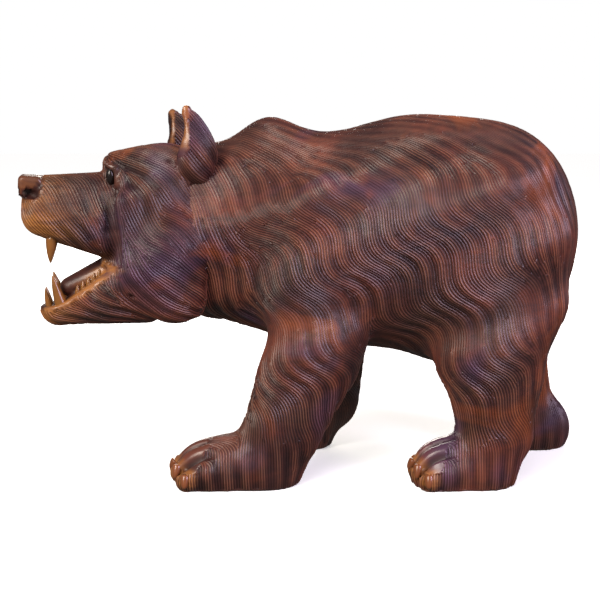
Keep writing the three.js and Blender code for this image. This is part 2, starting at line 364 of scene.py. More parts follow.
def ear_hollow(side, forward):
    return lump((-116 - forward, 39.5 * side, 303), (11, 9, 21), -8)


def head_field():
    """The head in its place on the neck."""
    brows = paired(limb((-161, 10, 276), (-138, 20, 280), 13, 13))
    cheek_rolls = paired(limb((-152, 34, 246), (-147, 38, 190), 12, 15))
    sockets = paired(limb((-174, 21, 275), (-171, 24, 263), 3.0, 4.4))
    closed = carve(4, join(6, ruff(), cheek_rolls, brows, muzzle()), creases())
    opened = carve(2, join(1.5, closed, lids()), mouth(), sockets)
    face = carve(1.2, join(2, opened, tongue(), nose()), nostrils())
    ears = [carve(3, ear_shell(*ear), ear_hollow(*ear)) for ear in EARS]
    whole = join(4, face, *ears)
    return lambda x, y, z: whole(*to_head(x, y, z)) - locks(x, y, z)


# The surface of a field.


def sample_band(field, axes, block_size=4):
    """Values on a grid. Far from the surface a coarse grid's values stand in."""
    cell = axes[0][1] - axes[0][0]
    coarse = [np.unique(np.append(np.arange(0, len(a), block_size), len(a) - 1)) for a in axes]
    rough = field(*np.meshgrid(*[a[c] for a, c in zip(axes, coarse)], indexing="ij"))
    nearest = [np.abs(c[None, :] - np.arange(len(a))[:, None]).argmin(1) for a, c in zip(axes, coarse)]
    values = rough[np.ix_(*nearest)].copy()
    close = np.argwhere(np.abs(values) < 1.6 * block_size * cell)
    for part in np.array_split(close, 1 + len(close) // 200000):
        values[tuple(part.T)] = field(*[a[i] for a, i in zip(axes, part.T)])
    return values


def net_points(values, axes, cells):
    """One point in each cell that the surface crosses: the mean of its crossings."""
    total = np.zeros((len(cells), 3))
    crossings = np.zeros(len(cells))
    for axis in range(3):
        others = [a for a in range(3) if a != axis]
        for b in (0, 1):
            for c in (0, 1):
                start = cells.copy()
                start[:, others[0]] += b
                start[:, others[1]] += c
                end = start.copy()
                end[:, axis] += 1
                f0 = values[tuple(start.T)]
                f1 = values[tuple(end.T)]
                crossed = (f0 < 0) != (f1 < 0)
                t = np.where(crossed, f0 / np.where(crossed, f0 - f1, 1), 0)
                p0 = np.stack([axes[k][start[:, k]] for k in range(3)], -1)
                p1 = np.stack([axes[k][end[:, k]] for k in range(3)], -1)
                total += np.where(crossed[:, None], p0 + (p1 - p0) * t[:, None], 0)
                crossings += crossed
    return total / crossings[:, None]


def net_quads(inside, index):
    """One quad round each grid edge that the surface crosses, facing outwards."""
    quads = []
    for axis in range(3):
        b, c = ((1, 2), (2, 0), (0, 1))[axis]
        first = np.moveaxis(inside, axis, 0)[:-1]
        last = np.moveaxis(inside, axis, 0)[1:]
        for leaves, flip in ((first & ~last, False), (~first & last, True)):
            edge = np.argwhere(np.moveaxis(leaves, 0, axis))
            edge = edge[(edge[:, b] > 0) & (edge[:, c] > 0)]
            ring = []
            for db, dc in ((-1, -1), (0, -1), (0, 0), (-1, 0)):
                cell = edge.copy()
                cell[:, b] += db
                cell[:, c] += dc
                ring.append(index[tuple(cell.T)])
            quads.append(np.stack(ring[::-1] if flip else ring, -1))
    return np.concatenate(quads)


def net(field, low, high, cell):
    """Points and triangles of a field's surface."""
    axes = [np.arange(l - cell, h + 2 * cell, cell) for l, h in zip(low, high)]
    values = sample_band(field, axes)
    inside = values < 0
    count = sum(inside[i:i - 1 or None, j:j - 1 or None, k:k - 1 or None].astype(np.int8)
                for i in (0, 1) for j in (0, 1) for k in (0, 1))
    crossed = (count > 0) & (count < 8)
    cells = np.argwhere(crossed)
    index = -np.ones(crossed.shape, int)
    index[crossed] = np.arange(len(cells))
    points = net_points(values, axes, cells)
    quads = net_quads(inside, index)
    across = np.linalg.norm(points[quads[:, 0]] - points[quads[:, 2]], axis=1)
    down = np.linalg.norm(points[quads[:, 1]] - points[quads[:, 3]], axis=1)
    short = (across <= down)[:, None]
    first = np.where(short, quads[:, [0, 1, 2]], quads[:, [0, 1, 3]])
    second = np.where(short, quads[:, [0, 2, 3]], quads[:, [1, 2, 3]])
    return points, np.concatenate([first, second])


def slope_of(field, points, step):
    """How fast a field grows along each axis."""
    x, y, z = points.T
    rise = [field(x + step, y, z) - field(x - step, y, z),
            field(x, y + step, z) - field(x, y - step, z),
            field(x, y, z + step) - field(x, y, z - step)]
    return np.stack(rise, -1) / (2 * step)


def settle(field, points, rounds=2):
    """Moves points onto the field's surface."""
    for _ in range(rounds):
        here = field(*points.T)
        slope = slope_of(field, points, 0.3)
        square = np.maximum((slope ** 2).sum(1), 0.2)
        move = -slope * (here / square)[:, None]
        length = np.linalg.norm(move, axis=1, keepdims=True)
        points = points + move * np.minimum(1, 2.0 / np.maximum(length, 1e-9))
    return points


def refine(points, triangles, chosen):
    """Halves every edge of the chosen triangles, and splits their neighbours to match."""
    edges, side, _ = edges_of(triangles, len(points))
    halved = np.zeros(len(edges), bool)
    halved[side[chosen].ravel()] = True
    middle = np.full(len(edges), -1)
    middle[halved] = len(points) + np.arange(halved.sum())
    ends = edges[halved]
    points = np.concatenate([points, points[ends].mean(1)])
    cut = halved[side]
    count = cut.sum(1)
    out = [triangles[count == 0]]
    full = count == 3
    a, b, c = triangles[full].T
    ab, bc, ca = middle[side[full]].T
    out += [np.stack(corner, -1) for corner in ((a, ab, ca), (ab, b, bc), (ca, bc, c), (ab, bc, ca))]
    for turn in range(3):
        order = [turn, (turn + 1) % 3, (turn + 2) % 3]
        one = (count == 1) & cut[:, turn]
        a, b, c = triangles[one][:, order].T
        ab = middle[side[one, turn]]
        out += [np.stack(corner, -1) for corner in ((a, ab, c), (ab, b, c))]
        two = (count == 2) & ~cut[:, turn]
        a, b, c = triangles[two][:, order].T
        bc, ca = middle[side[two, order[1]]], middle[side[two, order[2]]]
        out += [np.stack(corner, -1) for corner in ((a, b, bc), (a, bc, ca), (ca, bc, c))]
    return points, np.concatenate(out)


def unit(vectors):
    """Vectors of length one."""
    return vectors / np.maximum(np.linalg.norm(vectors, axis=1, keepdims=True), 1e-12)


def normals_of(points, triangles):
    """The way a mesh faces at each point."""
    a, b, c = (points[triangles[:, k]] for k in range(3))
    facing = np.cross(b - a, c - a)
    total = [sum(np.bincount(triangles[:, k], facing[:, axis], len(points)) for k in range(3))
             for axis in range(3)]
    return unit(np.stack(total, -1))


# Grooves. A phase runs over the surface square to the fur, one turn for each groove. Its whole turns
# are crests and its half turns are hollows, and the triangles are cut along both.


def edges_of(triangles, count):
    """Each edge once, low point first; the edge on each side of each triangle; whether the side runs
    from the edge's low point."""
    sides = np.concatenate([triangles[:, [0, 1]], triangles[:, [1, 2]], triangles[:, [2, 0]]])
    low, high = sides.min(1), sides.max(1)
    keys, which = np.unique(low * count + high, return_inverse=True)
    edges = np.stack([keys // count, keys % count], -1)
    return edges, which.reshape(3, -1).T, (sides[:, 0] == low).reshape(3, -1).T


def comb(points, edges, across, pitch, start, rounds=16, sweeps=12, reach=6.0):
    """A phase for each point, spread from a first guess until neighbours agree."""
    count = len(points)
    i, j = edges.T
    turn = math.pi / pitch * ((across[i] + across[j]) * (points[j] - points[i])).sum(1)
    turner = np.exp(1j * turn)
    degree = np.bincount(i, minlength=count) + np.bincount(j, minlength=count)

    def gather(where, values):
        return np.bincount(where, values.real, count) + 1j * np.bincount(where, values.imag, count)

    def spread(field):
        other = gather(j, turner * field[i]) + gather(i, turner.conj() * field[j])
        return field + reach * (degree * field - other)

    scale = 1 / (1 + reach * degree)
    field = start
    for _ in range(rounds):
        residue = field - spread(field)
        search = scale * residue
        product = np.vdot(residue, search).real
        for _ in range(sweeps):
            spread_search = spread(search)
            step = product / np.vdot(search, spread_search).real
            field = field + step * search
            residue = residue - step * spread_search
            scaled = scale * residue
            newer = np.vdot(residue, scaled).real
            search = scaled + newer / product * search
            product = newer
        field = field / np.maximum(np.abs(field), 1e-9)
    phase = np.angle(field)
    off = phase[j] - phase[i] - turn
    return phase, turn + (off + math.pi) % (2 * math.pi) - math.pi


PLAIN_HEIGHT = 0.62     # smooth wood lies this high between the hollows and the crests


class Groover:
    """Cuts a mesh along the whole and half turns of a phase. A level is a number of half turns."""

    def __init__(self, points, triangles, edges, side, along, phase, rise, furred, carried):
        self.triangles, self.side, self.along = triangles, side, along
        self.phase, self.low_point, self.furred = phase, edges[:, 0], furred
        live = furred[edges].all(1)
        self.rise = np.where(live, rise, 0)
        start = phase[edges[:, 0]] / math.pi
        end = start + self.rise / math.pi
        self.first = np.ceil(np.minimum(start, end) + 1e-6).astype(int)
        last = np.floor(np.maximum(start, end) - 1e-6).astype(int)
        self.count = np.where(live, np.maximum(last - self.first + 1, 0), 0)
        self.offset = len(points) + np.cumsum(self.count) - self.count
        cut = np.repeat(np.arange(len(edges)), self.count)
        level = np.arange(len(cut)) - (self.offset - len(points))[cut] + self.first[cut]
        t = np.clip((level * math.pi - phase[edges[cut, 0]]) / self.rise[cut], 0.02, 0.98)[:, None]
        height = np.abs(1 - (phase / math.pi) % 2)
        height[~furred] = PLAIN_HEIGHT
        self.height = np.concatenate([height, (level % 2 == 0).astype(float)])

        def with_cuts(values):
            """The values at the points, and those between them where the edges are cut."""
            return np.concatenate([values, values[edges[cut, 0]] * (1 - t) + values[edges[cut, 1]] * t])

        self.source = with_cuts(points)
        self.carried = with_cuts(carried)

    def cut(self):
        """Points, triangles, how high each point stands in its groove, and what it carries."""
        rise = self.rise[self.side] * np.where(self.along, 1, -1)
        live = self.furred[self.triangles]
        even = np.abs(rise.sum(1)) < 1e-3
        plain = ~live.any(1)
        regular = live.all(1) & even
        strips = self.strips(np.flatnonzero(regular), rise)
        fans = self.fans(np.flatnonzero(~plain & ~regular))
        faces = np.concatenate([self.triangles[plain], strips, fans])
        a, b, c = faces.T
        return self.source, faces[(a != b) & (b != c) & (c != a)], self.height, self.carried

    def level_point(self, face, one, other, level, corner, at):
        """The point at a level on the side of each face between two of its corners."""
        sides = np.where(one + other == 1, 0, np.where(one + other == 3, 1, 2))
        edge = self.side[face, sides]
        base = self.low_point[edge]
        sheet = np.where(corner[0] == base, at[0], at[1]) - self.phase[base]
        place = level - np.rint(sheet / math.pi).astype(int) - self.first[edge]
        return self.offset[edge] + np.clip(place, 0, np.maximum(self.count[edge] - 1, 0))

    def strips(self, faces, rise):
        """Faces whose phase is whole are cut into strips from their lowest corner to their highest."""
        corners = self.triangles[faces]
        start = self.phase[corners[:, 0]]
        phase = np.stack([start, start + rise[faces, 0], start - rise[faces, 2]], -1)
        order = np.argsort(phase, axis=1, kind="stable")
        rows = np.arange(len(faces))[:, None]
        corners, phase = corners[rows, order], phase[rows, order]
        lowest = np.ceil(phase[:, 0] / math.pi + 1e-6).astype(int)
        highest = np.floor(phase[:, 2] / math.pi - 1e-6).astype(int)
        cuts = np.maximum(highest - lowest + 1, 0)
        f = np.repeat(np.arange(len(faces)), cuts + 1)
        strip = np.arange(len(f)) - np.repeat(np.cumsum(cuts + 1) - cuts - 1, cuts + 1)
        middle = phase[f, 1] / math.pi

        def ends(level, inner, end):
            """The point on the long side and on the short side at a level, or the end corner."""
            def on(a, b):
                return self.level_point(faces[f], order[f, a], order[f, b], level,
                                        (corners[f, a], corners[f, b]), (phase[f, a], phase[f, b]))
            short = np.where(level < middle, on(0, 1), on(1, 2))
            return np.where(inner, on(0, 2), corners[f, end]), np.where(inner, short, corners[f, end])

        below, over = lowest[f] + strip - 1, lowest[f] + strip
        inner_low, inner_high = strip > 0, strip < cuts[f]
        low_long, low_short = ends(below, inner_low, 0)
        high_long, high_short = ends(over, inner_high, 2)
        holds = (~inner_low | (below < middle)) & (~inner_high | (middle <= over))
        bend = np.where(holds, corners[f, 1], low_short)
        out = np.concatenate([np.stack([low_long, high_long, high_short], -1),
                              np.stack([low_long, high_short, bend], -1),
                              np.stack([low_long, bend, low_short], -1)])
        turned = np.tile((order[f, 0] - order[f, 1]) % 3 == 2, 3)[:, None]
        return np.where(turned, out[:, [0, 2, 1]], out)

    def fans(self, faces):
        """Where a groove ends, or the fur does, a face is filled from a point in its middle."""
        added, height, carried, out = [], [], [], []
        for face in faces:
            ring = []
            for k in range(3):
                edge = self.side[face, k]
                cuts = list(range(self.offset[edge], self.offset[edge] + self.count[edge]))
                forward = (self.rise[edge] > 0) == bool(self.along[face, k])
                ring += [self.triangles[face, k]] + (cuts if forward else cuts[::-1])
            if len(ring) == 3:
                out.append(ring)
                continue
            centre = len(self.source) + len(added)
            added.append(self.source[ring].mean(0))
            height.append(self.height[ring].mean())
            carried.append(self.carried[ring].mean(0))
            out += [[ring[k], ring[(k + 1) % len(ring)], centre] for k in range(len(ring))]
        if added:
            self.source = np.concatenate([self.source, added])
            self.height = np.concatenate([self.height, height])
            self.carried = np.concatenate([self.carried, carried])
        return np.array(out, int).reshape(-1, 3)


# The lay of the fur: how steeply it falls towards the rear, in degrees below level. A stroke of the
# carver's tool is a place in X and Z and the fall there.


def lay_near(x, z, strokes, base, reach):
    """A base lay, bent towards each stroke near that stroke's place."""
    total = np.ones_like(x) * 0.25
    fall = total * base
    for place_x, place_z, angle in strokes:
        weight = np.exp(-((x - place_x) ** 2 + (z - place_z) ** 2) / reach ** 2)
        total = total + weight
        fall = fall + weight * angle
    return fall / total


MUZZLE_STROKES = ((-210, 249, 75), (-184, 249, 82), (-170, 245, 68), (-222, 230, 55), (-203, 227, 48),
                  (-184, 227, 62), (-216, 212, 48), (-198, 208, 62), (-177, 212, 80))
ROLL_STROKES = ((-162, 260, 88), (-166, 232, 85), (-164, 204, 85), (-160, 182, 80))
BROW_STROKES = ((-149, 275, 14), (-124, 278, 20), (-149, 262, 45), (-132, 264, 48), (-136, 245, 82),
                (-117, 260, 62), (-106, 264, 66), (-94, 260, 32))
CHEEK_STROKES = ((-117, 236, 16), (-141, 232, 62), (-130, 212, 18), (-149, 208, 52), (-111, 217, 56),
                 (-88, 221, 60), (-124, 193, 30), (-90, 195, 38), (-87, 180, 22), (-149, 187, 55))
JAW_STROKES = ((-147, 165, 56), (-115, 174, 38), (-115, 154, 18), (-149, 152, 36), (-173, 156, 12),
               (-160, 141, 3), (-205, 145, 4))


def head_lay(x, z):
    """The fur sweeps back from the muzzle and down over the cheeks."""
    strokes = MUZZLE_STROKES + ROLL_STROKES + BROW_STROKES + CHEEK_STROKES + JAW_STROKES
    return lay_near(x, z, strokes, 50, 11)


def body_lay(x, z):
    """The fur falls steeply and levels off again from row to row."""
    neck = 1 - smoothstep(x, -60, -32)
    rear = smoothstep(x, 175, 235)
    breast = np.exp(-((x + 26) / 26) ** 2 - ((z - 218) / 30) ** 2)
    paws = 1 - smoothstep(z, 30, 62)
    fall = 58 + neck * (8 + 16 * (1 - smoothstep(z, 175, 235))) + 22 * rear - 32 * breast
    swing = 27 * (1 - 0.75 * neck) * (1 - 0.6 * rear) * (1 - 0.4 * breast)
    wave = np.cos(2 * math.pi * wave_place(x, z) + 0.35 * np.sin(x / 31 + z / 57))
    return (fall - swing * wave) * (1 - paws) + 88 * paws


SPINE_FALL = 10         # the fur on top of the back runs nearly level
SPINE_FAN = 0.35        # and spreads a little to both sides
CROWDING = 1.3          # grooves come this much closer at most, where the fur swings over its rows
FIRST_X = 0.84          # the way the grooves are counted before the comb evens them out
FIRST_Z = 0.54
LOCK_PATCH = 15         # how wide the patches are where the locks swell fully
LOCK_LEVEL = 0.7        # this much of a lock's swell lies below the wood's own surface
CALM_PATCH = 26         # how wide the patches are where the grooves are shallow
CALM_HEAD = 0.4         # and how shallow they get there
CALM_BODY = 0.6


def fur_direction(points, normals, lay, turned):
    """The way the fur runs over the surface at each point, and how steeply it falls."""
    x, y, z = to_head(*points.T) if turned else points.T
    fall = lay(x, z)
    fan = SPINE_FAN * np.tanh(y / 12) * smoothstep(normals[:, 2], 0.2, 0.9)
    if not turned:
        level = smoothstep(normals[:, 2], 0.5, 0.92)
        fall = fall + (SPINE_FALL - fall) * level
    fall = np.radians(fall)
    flow = np.stack([np.cos(fall), fan, -np.sin(fall)], -1)
    if turned:
        c, s = math.cos(HEAD_TURN), math.sin(HEAD_TURN)
        along, beside, down = flow.T
        flow = np.stack([c * along - s * beside, s * along + c * beside, down], -1)
    flow -= (flow * normals).sum(1, keepdims=True) * normals
    return unit(flow), fall


def drift(points, size, start):
    """A slow change between 0 and 1 over a surface."""
    x, y, z = points.T / size
    wave = np.sin(x + 1.3 * np.sin(z + start))
    wave += np.sin(1.4 * z + 1.1 * np.sin(1.2 * x + start))
    wave += np.sin(y + z)
    return smoothstep(wave, -2.2, 2.2)


def grooved(points, triangles, lay, turned, smooth, fur):
    """Cuts the locks and the grooves into a surface. Smooth is 1 where the wood is left plain.

    Gives the points and faces, and for each point its height in its groove, its place in its lock, its
    polish and the way the wood faces without the grooves.
    """
    normals = normals_of(points, triangles)
    flow, fall = fur_direction(points, normals, lay, turned)
    crowding = np.clip(1 / np.maximum(np.sin(fall + LOCK_RISE), 0.1), 1, CROWDING)
    across = np.cross(normals, flow) * crowding[:, None]
    edges, side, along = edges_of(triangles, len(points))

    def combed(pitch):
        guess = np.exp(2j * math.pi / pitch * (points[:, 0] * FIRST_X + points[:, 2] * FIRST_Z))
        return comb(points, edges, across, pitch, guess)

    phase, rise = combed(fur.pitch / MM)
    lock_phase, _ = combed(fur.lock_pitch / MM)
    lock = 0.5 + 0.5 * np.cos(lock_phase) * (0.2 + 0.8 * drift(points, LOCK_PATCH, 0))
    beside_spine = 1 - 0.8 * smoothstep(normals[:, 2], 0.3, 0.9)
    swell = 2 * fur.lock_depth / MM * (lock - LOCK_LEVEL) * (1 - smooth) * beside_spine
    points = points + normals * swell[:, None]
    smoothed = normals_of(points, triangles)
    carried = np.column_stack([np.where(smooth > 0.5, 0.5, lock), smooth, smoothed])
    cutter = Groover(points, triangles, edges, side, along, phase, rise, smooth < 0.5, carried)
    source, faces, height, carried = cutter.cut()
    facing = unit(carried[:, 2:5])
    calm = (CALM_HEAD if turned else CALM_BODY) * drift(source, CALM_PATCH, 2) ** 2
    if not turned:
        calm = np.maximum(calm, CALM_BODY * smoothstep(facing[:, 2], 0.45, 0.9))
    height = height + (PLAIN_HEIGHT - height) * calm
    carved = source + facing * ((height - PLAIN_HEIGHT) * fur.depth / MM)[:, None]
    lock, polish = carried[:, :2].T
    return carved, faces, height, lock, polish, facing


def placed(name, data):
    """A new object in the scene."""
    obj = bpy.data.objects.new(name, data)
    bpy.context.scene.collection.objects.link(obj)
    return obj


def mesh_object(name, points, triangles, material, values):
    """An object in the row frame from millimetres, with every named value at each of its points."""
    mesh = bpy.data.meshes.new(name)
    mesh.vertices.add(len(points))
    mesh.vertices.foreach_set("co", (points * MM).astype(np.float32).ravel())
    mesh.loops.add(3 * len(triangles))
    mesh.loops.foreach_set("vertex_index", triangles.astype(np.int32).ravel())
    mesh.polygons.add(len(triangles))
    mesh.polygons.foreach_set("loop_start", np.arange(0, 3 * len(triangles), 3, dtype=np.int32))
    mesh.update(calc_edges=True)
    for key, value in values.items():
        layer = mesh.attributes.new(key, "FLOAT", "POINT")
        layer.data.foreach_set("value", value.astype(np.float32))
    mesh.shade_smooth()
    mesh.materials.append(material)
    return placed(name, mesh)


def belongs(obj):
    """Gives a piece its body and hides the imported solid of the bear."""
    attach(obj, "root")
    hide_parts("bear")
    return obj


# Shaders.


class Socket:
    """A shader socket that takes part in sums. Each sum adds its Math nodes."""

    def __init__(self, tree, link):
        self.tree, self.link = tree, link

    def math(self, operation, *values):
        return node(self.tree, "ShaderNodeMath", {"operation": operation}, dict(enumerate(values)))

    def __add__(self, other):
        return self.math("ADD", self, other)

    def __sub__(self, other):
        return self.math("SUBTRACT", self, other)

    def __rsub__(self, other):
        return self.math("SUBTRACT", other, self)

    def __mul__(self, other):
        return self.math("MULTIPLY", self, other)

    def __pow__(self, other):
        return self.math("POWER", self, other)

    __radd__ = __add__
    __rmul__ = __mul__

    def clamped(self):
        """Held between 0 and 1."""
        return node(self.tree, "ShaderNodeClamp", {}, {0: self})


def node(tree, kind, settings, inputs, output=0):
    """Adds a node, sets it, then gives its sockets their values or links."""
    made = tree.nodes.new(kind)
    for key, value in settings.items():
        if key == "stops":
            fill_ramp(made.color_ramp, value)
        else:
            setattr(made, key, value)
    for key, value in inputs.items():
        if isinstance(value, Socket):
            tree.links.new(value.link, made.inputs[key])
        else:
            made.inputs[key].default_value = value
    return Socket(tree, made.outputs[output]) if made.outputs else None


def fill_ramp(ramp, stops):
    """Gives a colour ramp its stops, each a place and a colour."""
    while len(ramp.elements) < len(stops):
        ramp.elements.new(0.5)
    for element, (place, colour) in zip(ramp.elements, stops):
        element.position = place
        element.color = colour


def blend(tree, factor, a, b, kind="MIX"):
    """Two colours mixed."""
    settings = {"data_type": "RGBA", "blend_type": kind}
    return node(tree, "ShaderNodeMix", settings, {0: factor, 6: a, 7: b}, 2)


def noise(tree, where, scale, detail=2.0, distortion=0.0):
    """A cloudy value around one half."""
    return node(tree, "ShaderNodeTexNoise", {}, {
        "Vector": where, "Scale": scale, "Detail": detail, "Distortion": distortion})


def carried(tree, name):
    """A value that the mesh carries at its points."""
    return node(tree, "ShaderNodeAttribute", {"attribute_name": name}, {}, 2)


def opaque(colour, shade=1.0):
    """A colour that covers fully, darkened by the shade."""
    return tuple(shade * c for c in colour) + (1,)


HOLLOW_SHADE = (0.33, 0.27, 0.28, 1)    # what is left of the stain's light at the bottom of a groove: painted shade, and stain gathered there
GROOVE_SHADING = 0.0007                 # the depth that the shading gives the grooves, in metres


def stained(tree, place, wood, violet_sheen):
    """The stain in its patches, darkest to reddest and lighter on the crests of the locks as painted
    highlight, under a painted purple sheen in patches, and here and there rubbed thin.
    """
    patches = noise(tree, place, 16.0, 3.0, 0.8)
    stretched = node(tree, "ShaderNodeMapping", {}, {"Vector": place, "Scale": (30.0, 160.0, 160.0)})
    grain = noise(tree, stretched, 1.0, 4.0, 0.8)
    # The lock term paints the crests of the locks lighter and redder: a painted highlight.
    tone = patches * 0.65 + grain * 0.2 + carried(tree, "lock") * 0.15
    stops = ((0.36, opaque(wood.shadow)), (0.50, opaque(wood.brown)), (0.66, opaque(wood.red)))
    stain = node(tree, "ShaderNodeValToRGB", {"stops": stops}, {0: tone})
    # Painted purple sheen, darker, over the stain in patches.
    with_violet_sheen = blend(tree, violet_sheen * 0.45, stain, opaque(wood.violet_sheen, 0.38))
    thin = ((noise(tree, place, 9.0, 3.0, 1.2) - 0.57) * 7).clamped()
    embers = blend(tree, thin * 0.8, with_violet_sheen, opaque(wood.ember))
    rubbed = (carried(tree, "gold") * (grain * 2.4 - 0.35)).clamped()
    return blend(tree, rubbed, embers, opaque(wood.gold))


def wood_material(wood):
    """The grooved wood: painted shade and gathered stain in the hollows, wear and painted highlights on the
    crests, glossy where it is smooth.
    """
    material = bpy.data.materials.new("grooved_wood")
    material.use_nodes = True
    tree = material.node_tree
    tree.nodes.clear()
    place = node(tree, "ShaderNodeTexCoord", {}, {}, 3)
    height = carried(tree, "groove")
    polish = carried(tree, "polish")
    # Where the painted purple sheen lies.
    violet_sheen = ((noise(tree, place, 13.0, 2.0, 0.5) - 0.56) * 7).clamped()
    rise = ((height - 0.05) * 1.5).clamped()
    # Painted shade, with the stain gathered in the hollows, darkens each groove towards its bottom.
    hollow = blend(tree, 1 - rise, stained(tree, place, wood, violet_sheen), HOLLOW_SHADE, "MULTIPLY")
    # The crests are painted lighter: wear and painted highlight, with painted purple sheen in patches.
    crest = blend(tree, violet_sheen, opaque(wood.wear_and_highlight), opaque(wood.violet_sheen))
    # Streaks along the locks where the crests take the painted highlight.
    streak = noise(tree, place, 22.0, 2.0, 0.4)
    streaks = ((streak * 0.6 + carried(tree, "lock") * 0.4 - 0.42) * 5).clamped()
    wear_and_highlight = blend(tree, (height ** 3) * streaks * 0.36, hollow, crest)
    rounded = height * height * (3 - height * 2)
    bump = node(tree, "ShaderNodeBump", {}, {
        "Strength": 1.0, "Distance": GROOVE_SHADING, "Height": rounded})
    surface = node(tree, "ShaderNodeBsdfPrincipled", {}, {
        "Normal": bump,
        "Base Color": wear_and_highlight,
        "Roughness": 0.34 + (1 - height) * 0.2 - polish * 0.06,
        "Coat Weight": polish * (0.75 * wood.gloss) + 0.25 * wood.gloss,
        "Coat Roughness": 0.24,
        "IOR": 1.5,
    })
    node(tree, "ShaderNodeOutputMaterial", {}, {0: surface})
    return material


def plain_material(name, colour, roughness):
    """One colour all over."""
    material = bpy.data.materials.new(name)
    material.use_nodes = True
    surface = material.node_tree.nodes["Principled BSDF"]
    surface.inputs["Base Color"].default_value = opaque(colour)
    surface.inputs["Roughness"].default_value = roughness
    return material


def lacquered(name, colour, roughness, gloss):
    """Smooth wood whose colour drifts a little from place to place."""
    material = plain_material(name, colour, roughness)
    tree = material.node_tree
    surface = tree.nodes["Principled BSDF"]
    place = node(tree, "ShaderNodeTexCoord", {}, {}, 3)
    cloud = noise(tree, place, 90.0, 3.0)
    shade = blend(tree, cloud, opaque(colour, 0.45), opaque(colour))
    tree.links.new(shade.link, surface.inputs["Base Color"])
    surface.inputs["Coat Weight"].default_value = gloss
    surface.inputs["Coat Roughness"].default_value = 0.12
    return material


def glowing(name, colour, roughness, strength):
    """A pale surface that gives some white light of its own."""
    material = plain_material(name, colour, roughness)
    surface = material.node_tree.nodes["Principled BSDF"]
    surface.inputs["Emission Color"].default_value = (1, 1, 1, 1)
    surface.inputs["Emission Strength"].default_value = strength
    return material


# What a user would change.


class BearFur(bpy.types.PropertyGroup):
    """How the fur is cut"""
    pitch: FloatProperty(
        name="Groove pitch", description="From one groove to the next",
        default=0.0025, min=0.001, subtype="DISTANCE", unit="LENGTH")
    depth: FloatProperty(
        name="Groove depth", description="From the crest of a groove to its hollow",
        default=0.00095, min=0, subtype="DISTANCE", unit="LENGTH")
    lock_pitch: FloatProperty(
        name="Lock pitch", description="From one lock to the next, across the fur",
        default=0.0145, min=0.004, subtype="DISTANCE", unit="LENGTH")
    lock_depth: FloatProperty(
        name="Lock depth", description="How far a full lock swells",
        default=0.0011, min=0, subtype="DISTANCE", unit="LENGTH")


class BearWood(bpy.types.PropertyGroup):
    """The stains and the lacquer"""
    shadow: FloatVectorProperty(
        name="Dark stain", description="Darkest patches of the wood",
        default=(0.028, 0.011, 0.011), subtype="COLOR", min=0, max=1)
    brown: FloatVectorProperty(
        name="Brown stain", description="Most of the wood",
        default=(0.070, 0.022, 0.017), subtype="COLOR", min=0, max=1)
    red: FloatVectorProperty(
        name="Red stain", description="Reddest patches of the wood",
        default=(0.160, 0.040, 0.023), subtype="COLOR", min=0, max=1)
    gold: FloatVectorProperty(
        name="Golden stain", description="Where the stain is rubbed thin",
        default=(0.420, 0.165, 0.035), subtype="COLOR", min=0, max=1)
    # The crests' colour: wear and painted highlight.
    wear_and_highlight: FloatVectorProperty(
        name="Worn crests", description="Crests of the grooves",
        default=(0.400, 0.205, 0.120), subtype="COLOR", min=0, max=1)
    claw: FloatVectorProperty(
        name="Claw stain", description="Claws",
        default=(0.26, 0.080, 0.028), subtype="COLOR", min=0, max=1)
    eye: FloatVectorProperty(
        name="Eye stain", description="Eyes",
        default=(0.012, 0.007, 0.006), subtype="COLOR", min=0, max=1)
    ember: FloatVectorProperty(
        name="Ember stain", description="A few patches where the stain is thin",
        default=(0.300, 0.070, 0.016), subtype="COLOR", min=0, max=1)
    # A painted purple sheen on the crests, and darker over the stain.
    violet_sheen: FloatVectorProperty(
        name="Violet bloom", description="Crests where the lacquer blooms",
        default=(0.18, 0.11, 0.24), subtype="COLOR", min=0, max=1)
    gloss: FloatProperty(
        name="Gloss", description="Weight of the clear lacquer",
        default=0.5, min=0, max=1, subtype="FACTOR")


class BearStudio(bpy.types.PropertyGroup):
    """The lights"""
    sky: FloatProperty(
        name="Wide light", description="Strength of the wide light on bear and floor",
        default=2.2, min=0)
    key: FloatProperty(
        name="Key light", description="Power of the large soft light",
        default=32.0, min=0, subtype="POWER", unit="POWER")
    fill: FloatProperty(
        name="Fill light", description="Power of the cool light from the other side",
        default=24.0, min=0, subtype="POWER", unit="POWER")
    back: FloatProperty(
        name="Back light", description="Power of the soft light behind the bear",
        default=30.0, min=0, subtype="POWER", unit="POWER")


# The carved pieces.

BODY_BOX = ((-160, -100, -6), (275, 100, 335))
BODY_CELL = 4.0
HEAD_BOX = ((-262, -85, 120), (-60, 100, 340))
HEAD_CELL = 2.6
HIDDEN = -4             # wood deeper than this inside the other piece is left plain
PAW_TOP = 34            # the net is finer below this
TOES_BACK = 36          # and finer still this far back from the tips of the toes
TOES_TOP = 46
TOES_PLAIN = 17         # the tops of the toes are smooth above this
WAIST = 93              # the body is one mesh, parted here and at the tops of the legs
LEG_TOP = 96            # to keep each piece light


def row_frame(points):
    """From the carving's own place to the row frame, centred over its origin."""
    return points - np.array([MIDDLE_X, 0, 0])


def on_paws(points):
    return points[:, 2] < PAW_TOP


def on_toes(points):
    """Which points are on the toes. Seen from above, the rear edge is curved."""
    x, y, z = points.T
    near = np.zeros(len(points), bool)
    for shape in PAWS:
        aside = y - STANCE * shape["side"]
        before = x < shape["toe"] + TOES_BACK - 0.012 * aside ** 2
        near |= before & (x > shape["toe"] - 10) & (np.abs(aside) < 32)
    return near & (z < TOES_TOP)


